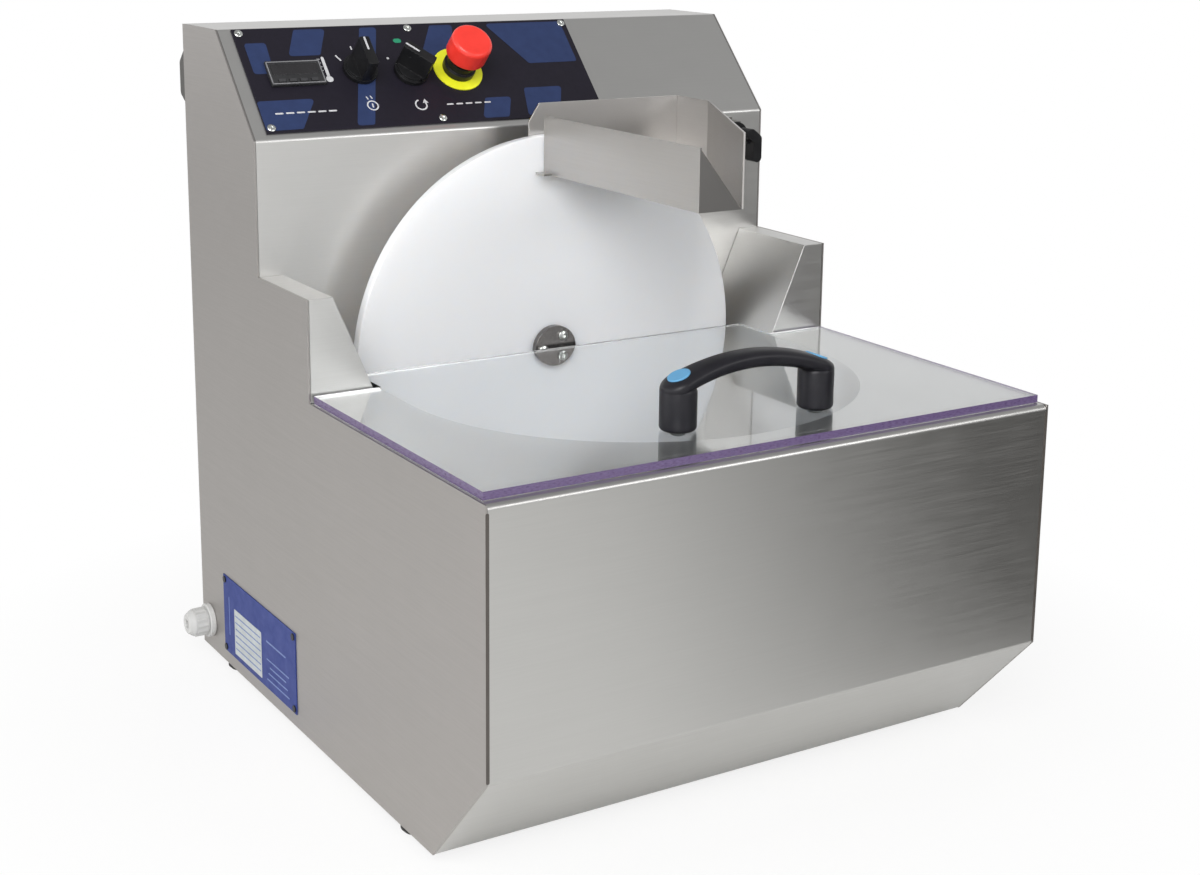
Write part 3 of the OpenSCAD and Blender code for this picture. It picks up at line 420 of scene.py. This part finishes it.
def finish_node(name, node):
    """Gives a CAD node its material and rounds its edges a little."""
    node.data.materials.clear()
    node.data.materials.append(FINISH[name])
    node.data.polygons.foreach_set("use_smooth", [True] * len(node.data.polygons))
    weld = node.modifiers.new("weld", "WELD")
    weld.merge_threshold = 0.002 * MM
    flat = node.modifiers.new("flat_faces", "DECIMATE")
    flat.decimate_type = "DISSOLVE"
    flat.angle_limit = math.radians(0.4)
    bevel = node.modifiers.new("edge", "BEVEL")
    bevel.width = EDGE_WIDTH.get(name, SHEET_EDGE_WIDTH)
    bevel.segments = 3
    bevel.limit_method = "ANGLE"
    bevel.angle_limit = math.radians(32)
    normals = node.modifiers.new("normals", "WEIGHTED_NORMAL")
    normals.keep_sharp = True


for name, node in NODES.items():
    finish_node(name, node)


# Flat prints and small pieces

def piece(name, mesh, material, body):
    """Puts a finished mesh into the scene as a piece of a body."""
    made = bpy.data.objects.new(name, mesh)
    bpy.context.scene.collection.objects.link(made)
    made.data.materials.append(material)
    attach(made, body)
    return made


def slab(name, outlines, thick, place, material, body):
    """Flat shapes of a thickness, each drawn as points round its edge."""
    mesh = bpy.data.meshes.new(name)
    shape = bmesh.new()
    for outline in outlines:
        bottom = [shape.verts.new((x, y, 0)) for x, y in outline]
        top = [shape.verts.new((x, y, thick)) for x, y in outline]
        shape.faces.new(list(reversed(bottom)))
        shape.faces.new(top)
        for i in range(len(outline)):
            j = (i + 1) % len(outline)
            shape.faces.new((bottom[i], bottom[j], top[j], top[i]))
    shape.transform(place)
    bmesh.ops.recalc_face_normals(shape, faces=shape.faces)
    shape.to_mesh(mesh)
    shape.free()
    piece(name, mesh, material, body)


def bar(x, y, width, height, turn=0.0):
    """Outline of a bar round its middle, its ends rounded, turned by an angle in degrees."""
    radius = min(width, height) / 2
    half_w, half_h = width / 2 - radius, height / 2 - radius
    corner_steps = 4
    points = []
    for corner, (side_x, side_y) in enumerate(((1, 1), (-1, 1), (-1, -1), (1, -1))):
        for step in range(corner_steps + 1):
            angle = math.radians(90 * (corner + step / corner_steps))
            points.append(Vector((side_x * half_w + radius * math.cos(angle),
                                  side_y * half_h + radius * math.sin(angle), 0)))
    turned = Matrix.Rotation(math.radians(turn), 3, "Z")
    return [(x + point.x, y + point.y) for point in (turned @ drawn for drawn in points)]


def arc_band(x, y, radius, width, start, end):
    """Outline of a curved band between two angles in degrees."""
    steps = 20
    angles = [math.radians(start + (end - start) * i / steps) for i in range(steps + 1)]
    outer, inner = radius + width / 2, radius - width / 2
    outline = [(x + outer * math.cos(angle), y + outer * math.sin(angle)) for angle in angles]
    outline += [(x + inner * math.cos(angle), y + inner * math.sin(angle)) for angle in reversed(angles)]
    return outline


def rounded_shape(points, radius):
    """Outline with each of its corners rounded."""
    steps = 6
    outline = []
    for i, point in enumerate(points):
        before, here, after = Vector(points[i - 1]), Vector(point), Vector(points[(i + 1) % len(points)])
        back, ahead = (before - here).normalized(), (after - here).normalized()
        reach = radius / math.tan(back.angle(ahead) / 2)
        start, end = here + back * reach, here + ahead * reach
        for step in range(steps + 1):
            share = step / steps
            curved = start * (1 - share) ** 2 + here * 2 * share * (1 - share) + end * share ** 2
            outline.append((curved.x, curved.y))
    return outline


def mark(centre, aside, above, width, height, turn=0.0):
    """Outline of a bar beside a place on the plate, in millimetres and degrees."""
    x, up = centre
    return bar(x + aside * MM, up + above * MM, width * MM, height * MM, turn)


def print_on_plate(name, outlines, material=ink_white, layer=2):
    """Prints shapes on the control plate, higher layers over lower ones."""
    place = above_plate((layer - 1) * PRINT_THICK)
    slab(name, outlines, PRINT_THICK, place, material, "housing")


def plate_artwork():
    """Broad slanted fields and rounded tiles in blue across the plate."""
    border = 0.4 * MM
    corner_radius = 3.2 * MM
    printed_width, printed_length = plate_width - 2 * border, plate_length - 2 * border
    field_shares = [
        [(0.0, 0.3), (0.0, 0.02), (0.1, 0.02), (0.16, 0.3)],
        [(0.17, 0.98), (0.26, 0.98), (0.22, 0.72), (0.13, 0.72)],
        [(0.36, 0.98), (0.41, 0.98), (0.3, 0.02), (0.25, 0.02)],
        [(0.5, 0.62), (0.57, 0.98), (0.64, 0.98), (0.6, 0.62)],
        [(0.74, 0.98), (0.985, 0.98), (0.985, 0.55), (0.83, 0.55)],
        [(0.62, 0.02), (0.7, 0.02), (0.73, 0.22), (0.65, 0.22)],
        [(0.78, 0.3), (0.9, 0.3), (0.86, 0.02), (0.76, 0.02)],
        [(0.02, 0.86), (0.08, 0.86), (0.075, 0.56), (0.02, 0.56)],
    ]
    shapes = []
    for shares in field_shares:
        points = [(border + x * printed_width, border + up * printed_length) for x, up in shares]
        shapes.append(rounded_shape(points, corner_radius))
    print_on_plate("plate_artwork", shapes, plate_blue, layer=1)


def knob_marks(heat_knob, wheel_knob):
    """Two strokes beside the heat knob, and a dot and a green mark beside the wheel's knob."""
    strokes = [
        mark(heat_knob, aside=-15, above=14, width=1.4, height=7, turn=30),
        mark(heat_knob, aside=0, above=24, width=1.2, height=4),
        mark(wheel_knob, aside=-16, above=15.5, width=2.4, height=2.4),
    ]
    print_on_plate("knob_marks", strokes)
    green = mark(wheel_knob, aside=-1, above=34, width=7.5, height=4.5)
    print_on_plate("knob_green_mark", [green], ink_green)


def turn_sign(wheel_knob):
    """Open ring that ends in an arrow head, below the wheel's knob."""
    x, up = wheel_knob[0] - 2 * MM, wheel_knob[1] - 35 * MM
    ring = arc_band(x, up, radius=5 * MM, width=1.3 * MM, start=100, end=400)
    head_root, head_width, head_tip = 2.2 * MM, 5.2 * MM, 6 * MM
    head_foot = 2 * MM
    head = [(x + head_root, up + head_foot), (x + head_root + head_width, up + 0.9 * head_foot),
            (x + head_root + head_width / 2, up + head_tip)]
    print_on_plate("turn_sign", [ring, head])


def heat_sign(heat_knob):
    """Ring with a stroke in it and two drops above it, below the heat knob."""
    x, up = heat_knob[0], heat_knob[1] - 37 * MM
    ring = arc_band(x, up, radius=4.6 * MM, width=1.2 * MM, start=0, end=359.9)
    strokes = [
        mark(heat_knob, aside=0, above=-37, width=1.3, height=4.4),
        mark(heat_knob, aside=-2.6, above=-29, width=1.1, height=3.4, turn=20),
        mark(heat_knob, aside=1.2, above=-28.4, width=1.1, height=3.4, turn=20),
    ]
    print_on_plate("heat_sign", [ring, *strokes])


def label_rules():
    """Two rows of short plain rules along the plate's foot."""
    up, height = 19 * MM, 1.5 * MM
    left_start, left_pitch = 16 * MM, 9.4 * MM
    right_start, right_pitch = plate_place(middle("stop_ring"))[0] - 20 * MM, 9 * MM
    rules = [bar(right_start + i * right_pitch, up, 6.4 * MM, height) for i in range(5)]
    rules += [bar(left_start + i * left_pitch, up, 7.2 * MM, height) for i in range(6)]
    print_on_plate("label_rules", rules)


def thermometer_sign():
    """Thermometer beside the controller: stem, bulb and a short scale."""
    beside = 5 * MM
    side = corners("controller_body")[1]
    centre = (plate_place(side)[0] + beside, plate_place(middle("controller_window"))[1])
    shapes = [
        mark(centre, aside=0, above=3, width=2.6, height=21),
        mark(centre, aside=0, above=-10, width=6.4, height=6.4),
    ]
    shapes += [mark(centre, aside=-4, above=11 - 4 * i, width=3, height=0.8) for i in range(4)]
    print_on_plate("thermometer_sign", shapes)


def controller_rim():
    """Painted highlight: a thin pale frame round the controller's front, which is twice as wide as high,
    standing in for the highlight on its glossy rim.
    """
    low, high = corners("controller_body")
    x, up = plate_place(middle("controller_window"))
    half_w = (high.x - low.x) / 2
    half_h = half_w / 2
    line, raised = 0.9 * MM, 0.3 * MM
    middle_up = up - 3.5 * MM
    rails = [bar(x, middle_up + side * (half_h - line), 2 * half_w - line, line) for side in (-1, 1)]
    rails += [bar(x + side * (half_w - line), middle_up, line, 2 * half_h - line) for side in (-1, 1)]
    place = above_plate(reach_out("controller_body") - PLATE_THICK)
    slab("controller_rim", rails, raised, place, painted_rim_highlight, "housing")


def knob_pointer(name, node, joint, turn):
    """White line let into the top of a selector knob's bar."""
    width, thick, sunk = 1.7 * MM, 0.45 * MM, 0.55 * MM
    low, high = corners(node)
    reach = (high.x - low.x) / 2
    line = bar(0, reach * 0.5, width, reach * 0.9, turn=0)
    top = Vector(JOINTS[joint]["pos_m"]) + normal * (reach_out(node) - sunk)
    place = Matrix.Translation(top) @ plate_turn @ Matrix.Rotation(math.radians(turn), 4, "Z")
    slab(name, [line], thick, place, ink_white, JOINTS[joint]["child"])


def data_plate_print():
    """Ruled silver field and plain pale lines on the plate at the side."""
    low, high = corners("data_plate")
    width, height = high.y - low.y, high.z - low.z
    place = Matrix.Translation((low.x, high.y, low.z)) @ turned_to((0, -1, 0), (0, 0, 1), (-1, 0, 0))
    upper = place @ Matrix.Translation((0, 0, PRINT_THICK))
    left, right, foot, head = width * 0.155, width * 0.54, height * 0.065, height * 0.65
    field = rounded_shape([(left, foot), (right, foot), (right, head), (left, head)], 1 * MM)
    slab("data_field", [field], PRINT_THICK, place, data_silver, "housing")
    pitch = height * 0.085
    rules_middle, rules_foot, rules_length = width * 0.347, height * 0.145, width * 0.36
    rules = [bar(rules_middle, rules_foot + pitch * i, rules_length, 1.1 * MM) for i in range(6)]
    slab("data_rules", rules, PRINT_THICK, upper, ink_pale_blue, "housing")
    lines_middle, lines_foot = width * 0.76, height * 0.12
    longest, step = width * 0.3, width * 0.04
    lines = [bar(lines_middle, lines_foot + pitch * i, longest - step * (i % 3), 1.2 * MM) for i in range(4)]
    upright_line = bar(width * 0.08, height / 2, 1.2 * MM, height / 2)
    head_line = bar(width * 0.74, height * 0.6, width * 0.26, 1.4 * MM)
    lines += [upright_line, head_line]
    slab("data_lines", lines, PRINT_THICK, place, ink_pale_blue, "housing")


def lid_edge_band():
    """Violet tint on the lid's sawn edges at its front and sides."""
    node = NODES["lid"]
    node.data.materials.append(lid_edge)
    edge_material = len(node.data.materials) - 1
    band = 1 * MM
    low, high = corners("lid")
    for face in node.data.polygons:
        upright = abs(face.normal.z) < 0.5
        inward = min(face.center.x - low.x, high.x - face.center.x, face.center.y - low.y)
        if upright and inward < band:
            face.material_index = edge_material


def corner_seam_shade(name, side):
    """Painted shade: a dark strip on the front panel beside a side panel, down to the toe, standing in for
    the shadow gap and the dark reflection in the corner's bend.
    """
    wide, inset, below_top, tolerance = 2.6 * MM, 0.2 * MM, 1 * MM, 0.1 * MM
    face_y = corners("front_panel")[0].y
    upright = [vertex.co.z for vertex in NODES["front_panel"].data.vertices
               if vertex.co.y < face_y + tolerance]
    foot, top = min(upright), max(upright) - below_top
    outside = corners("side_panel_right")[1].x - corners("side_panel_left")[0].x
    across = side * (outside / 2 - wide / 2 - inset)
    facing = turned_to((1, 0, 0), (0, 0, 1), (0, -1, 0))
    place = Matrix.Translation((middle("front_panel").x, face_y, 0)) @ facing
    strip = bar(across, (foot + top) / 2, wide, top - foot)
    slab(name, [strip], PRINT_THICK, place, painted_corner_shade, "housing")


# Smooth round pieces

def loft(name, rings, material, body):
    """A closed smooth skin over rings of points that all have the same count."""
    mesh = bpy.data.meshes.new(name)
    shape = bmesh.new()
    rows = [[shape.verts.new(point) for point in ring] for ring in rings]
    count = len(rings[0])
    for first, second in zip(rows, rows[1:]):
        for i in range(count):
            j = (i + 1) % count
            shape.faces.new((first[i], first[j], second[j], second[i]))
    shape.faces.new(rows[0][::-1])
    shape.faces.new(rows[-1])
    bmesh.ops.recalc_face_normals(shape, faces=shape.faces)
    for face in shape.faces:
        face.smooth = len(face.verts) == 4
    shape.to_mesh(mesh)
    shape.free()
    return piece(name, mesh, material, body)


def squared_ring(half_width, half_height):
    """Points of a ring between an ellipse and a rectangle."""
    count, exponent = 32, 2 / 2.6
    points = []
    for step in range(count):
        angle = math.tau * step / count
        cos, sin = math.cos(angle), math.sin(angle)
        points.append((half_width * math.copysign(abs(cos) ** exponent, cos),
                       half_height * math.copysign(abs(sin) ** exponent, sin)))
    return points


def level_ring(radius, height, count, depth_share=1.0):
    """Points of a level circle or ellipse round the upright axis."""
    angles = [math.tau * step / count for step in range(count)]
    return [Vector((radius * math.cos(angle), radius * depth_share * math.sin(angle), height))
            for angle in angles]


HANDLE_RISE = 12 * MM
HANDLE_THICK = 13.5 * MM
handle_low, handle_high = corners("lid_handle")
handle_foot = Vector((middle("lid_handle").x, middle("lid_handle").y, handle_low.z))
leg_radius = (handle_high.y - handle_low.y) / 2
leg_reach = (handle_high.x - handle_low.x) / 2 - leg_radius
leg_top = handle_high.z - handle_low.z - HANDLE_RISE


def handle_bar():
    """Arched bar of the lid's handle, wider over its legs and round at its ends."""
    stations = 56
    tip_share = 0.02
    rings = []
    for step in range(stations + 1):
        x = -(leg_reach + leg_radius) * math.cos(math.pi * step / stations)
        past = max(0.0, abs(x) - leg_reach) / leg_radius
        round_end = max(math.sqrt(max(0.0, 1 - past * past)), tip_share)
        widening = 0.8 + 0.2 * min(1.0, abs(x) / leg_reach) ** 2
        up = leg_top + HANDLE_RISE * (1 - (x / leg_reach) ** 2) - HANDLE_THICK / 2
        ring = squared_ring(leg_radius * widening * round_end, HANDLE_THICK / 2 * round_end ** 0.3)
        rings.append([handle_foot + Vector((x, y, up + z)) for y, z in ring])
    made = loft("handle_bar", rings, handle_plastic, "lid_set")
    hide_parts("lid_handle")


def handle_leg(name, side):
    """Round leg with a rounded foot, which runs into the end of the bar."""
    foot_round = 3.5 * MM
    steps = 6
    count = 48
    axis = handle_foot + Vector((side * leg_reach, 0, 0))
    rings = []
    for step in range(steps + 1):
        angle = math.pi / 2 * step / steps
        radius = leg_radius - foot_round * (1 - math.sin(angle))
        rings.append(level_ring(radius, foot_round * (1 - math.cos(angle)), count))
    rings.append(level_ring(leg_radius, leg_top - HANDLE_THICK * 0.85, count))
    rings.append(level_ring(leg_radius * 0.9, leg_top - HANDLE_THICK * 0.6, count))
    placed = [[axis + point for point in ring] for ring in rings]
    loft(name, placed, handle_plastic, "lid_set")


def handle_cap(name, side):
    """Oval cap let into the bar over a leg, tilted with the bar's slope."""
    radius, crown, sunk = 9 * MM, 0.75 * MM, 2 * MM
    slope = math.atan(2 * HANDLE_RISE / leg_reach)
    profile = (
        (radius, -sunk),
        (radius, 0.35 * MM),
        (radius - 0.2 * MM, 0.6 * MM),
        (radius - 0.7 * MM, crown),
    )
    seat = handle_foot + Vector((side * leg_reach, 0, leg_top))
    place = Matrix.Translation(seat) @ Matrix.Rotation(side * slope, 4, "Y")
    rings = [level_ring(reach, up, 40, depth_share=0.92) for reach, up in profile]
    placed = [[place @ point for point in ring] for ring in rings]
    made = loft(name, placed, cap_plastic, "lid_set")
    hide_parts("handle_caps")


def gland_grip():
    """Ribbed grip round the gland's outer nut."""
    ribs, steps_per_rib = 14, 8
    rib_depth = 0.5 * MM
    clearance = 0.45 * MM
    low, high = corners("gland_nut")
    length = high.x - low.x
    mean_radius = (high.z - low.z) / 2 + clearance
    outline = []
    for step in range(ribs * steps_per_rib):
        angle = math.tau * step / (ribs * steps_per_rib)
        reach = mean_radius + rib_depth * math.cos(ribs * angle)
        outline.append((reach * math.cos(angle), reach * math.sin(angle)))
    centre = middle("gland_nut")
    start = Vector((low.x + length * 0.38, centre.y, centre.z))
    place = Matrix.Translation(start) @ turned_to((0, 1, 0), (0, 0, 1), (1, 0, 0))
    slab("gland_grip", [outline], length / 2, place, gland_plastic, "housing")


heat_knob_place = plate_place(JOINTS["heat_turn"]["pos_m"])
wheel_knob_place = plate_place(JOINTS["wheel_switch_turn"]["pos_m"])

# painted shade down both front corners
corner_seam_shade("front_seam_shade_left", -1)
corner_seam_shade("front_seam_shade_right", 1)
handle_bar()
handle_leg("handle_leg_left", -1)
handle_leg("handle_leg_right", 1)
handle_cap("handle_cap_left", -1)
handle_cap("handle_cap_right", 1)
gland_grip()
plate_artwork()
knob_marks(heat_knob_place, wheel_knob_place)
turn_sign(wheel_knob_place)
heat_sign(heat_knob_place)
label_rules()
thermometer_sign()
controller_rim()
knob_pointer("heat_pointer", "heat_knob", "heat_turn", turn=0)
knob_pointer("wheel_pointer", "wheel_knob", "wheel_switch_turn", turn=45)
data_plate_print()
lid_edge_band()


# Studio

def mirrored_floor(shader, pale):
    """The floor in front as steel mirrors it: a painted reflection that glows pale and is painted dark at
    the right; and where the floor is in front.
    """
    rightward = shader.along(shader.place, (1.0, 0.53, 0))
    far_right = shader.spread(rightward, 0.0, 1.0, start=-0.25, end=0.22)
    in_front = shader.spread(shader.part(shader.place, "Y"), 1.0, 0.0, start=-0.46, end=-0.3)
    # painted reflection: a dark patch that only steel sees, at the front right of the floor
    dark = shader.calculate("MULTIPLY", far_right, in_front)
    emission = shader.add("ShaderNodeEmission")
    shader.link(shader.mix(dark, pale, (0.04, 0.038, 0.035)), emission.inputs["Color"])
    return emission.outputs["Emission"], in_front


def floor_material(name):
    """Pale floor that fades to white for the camera; to steel it shows a glowing painted reflection, painted
    dark at the right.
    """
    shader = Shader(name, (0.85, 0.85, 0.85), 0.0, 0.8)
    shader.set("Specular IOR Level", 0.1)
    grain = shader.spread(shader.noise(3), 0.0, 0.04)
    pale = shader.mix(grain, (0.92, 0.92, 0.91), (0.88, 0.88, 0.87))
    shader.color(pale)
    path = shader.add("ShaderNodeLightPath")
    mirrored, in_front = mirrored_floor(shader, pale)
    # steel sees the glowing painted reflection in place of the lit floor in front
    glossy = shader.calculate("MULTIPLY", path.outputs["Is Glossy Ray"], in_front)
    lit = shader.blend(glossy, shader.principled.outputs["BSDF"], mirrored)
    away = shader.add("ShaderNodeVectorMath", operation="LENGTH")
    shader.link(shader.place, away.inputs[0])
    fade = shader.spread(away.outputs["Value"], 0.82, 1.0, start=0.35, end=0.62)
    seen = shader.calculate("MULTIPLY", path.outputs["Is Camera Ray"], fade)
    white = shader.add("ShaderNodeEmission")
    shader.surface(shader.blend(seen, lit, white.outputs["Emission"]))
    return shader.material


def floor_sheet(name, half_side):
    """Level square under the part."""
    mesh = bpy.data.meshes.new(name)
    sides = ((-1, -1), (1, -1), (1, 1), (-1, 1))
    mesh.from_pydata([(x * half_side, y * half_side, 0) for x, y in sides], [], [(0, 1, 2, 3)])
    made = bpy.data.objects.new(name, mesh)
    bpy.context.scene.collection.objects.link(made)
    made.data.materials.append(floor_material(name))


def lamp(name, place, aim, size, watts):
    """A soft box at a place, turned to its aim; its size is its width and height."""
    data = bpy.data.lights.new(name, "AREA")
    data.shape = "RECTANGLE"
    data.size, data.size_y = size
    data.energy = watts
    made = bpy.data.objects.new(name, data)
    bpy.context.scene.collection.objects.link(made)
    made.location = place
    made.rotation_euler = (Vector(aim) - Vector(place)).to_track_quat("-Z", "Y").to_euler()


def world_light():
    """Pale world: white to the camera; as a light softer above and dim at the front right."""
    world = bpy.data.worlds.new("studio")
    world.use_nodes = True
    bpy.context.scene.world = world
    white = (1.0, 1.0, 1.0, 1.0)
    shading = ShaderTree(world.node_tree)
    direction = shading.add("ShaderNodeTexCoord").outputs["Generated"]
    softer_above = shading.spread(shading.part(direction, "Z"), 0.92, 0.37, start=0.25, end=0.72)
    rightward = shading.along(direction, (0.83, -0.56, 0))
    dim_at_right = shading.spread(rightward, 1.0, 0.2, start=0.84, end=0.96)
    light = world.node_tree.nodes["Background"]
    light.inputs["Color"].default_value = white
    shading.link(shading.calculate("MULTIPLY", softer_above, dim_at_right), light.inputs["Strength"])
    backdrop = shading.add("ShaderNodeBackground")
    backdrop.inputs["Color"].default_value = white
    seen = shading.add("ShaderNodeLightPath").outputs["Is Camera Ray"]
    shown = shading.blend(seen, light.outputs["Background"], backdrop.outputs["Background"])
    shading.link(shown, world.node_tree.nodes["World Output"].inputs["Surface"])


def camera():
    """The photograph's camera: its place was solved from the housing's corners."""
    photo_width_px, focal_px = 1200, 1898.6
    yaw, pitch, roll = math.radians(31.51), math.radians(12.44), math.radians(0.54)
    place = Vector((-796.8, -1312.25, 684.0)) * MM
    data = bpy.data.cameras.new("camera")
    data.sensor_fit = "HORIZONTAL"
    data.sensor_width = 36
    data.lens = focal_px / photo_width_px * data.sensor_width
    data.shift_x, data.shift_y = 0.0118, -0.1086
    data.clip_end = 50
    made = bpy.data.objects.new("camera", data)
    bpy.context.scene.collection.objects.link(made)
    ahead = Vector((math.sin(yaw) * math.cos(pitch), math.cos(yaw) * math.cos(pitch), -math.sin(pitch)))
    level_right = Vector((math.cos(yaw), -math.sin(yaw), 0))
    level_up = level_right.cross(ahead)
    right = level_right * math.cos(roll) + level_up * math.sin(roll)
    up = level_up * math.cos(roll) - level_right * math.sin(roll)
    made.matrix_world = Matrix.Translation(place) @ turned_to(right, up, -ahead)
    bpy.context.scene.camera = made


world_light()
floor_sheet("floor", half_side=6)
lamp("key_light", place=(-1.6, -1.9, 1.9), aim=(0, 0, 0.25), size=(1.6, 1.6), watts=58)
lamp("front_light", place=(1.3, -2.1, 1.3), aim=(0, 0, 0.3), size=(1.2, 0.7), watts=9)
lamp("side_light", place=(-2.6, 0.6, 1.0), aim=(0, 0, 0.3), size=(1.6, 1.4), watts=13)
camera()
bpy.context.scene.view_settings.view_transform = "Standard"
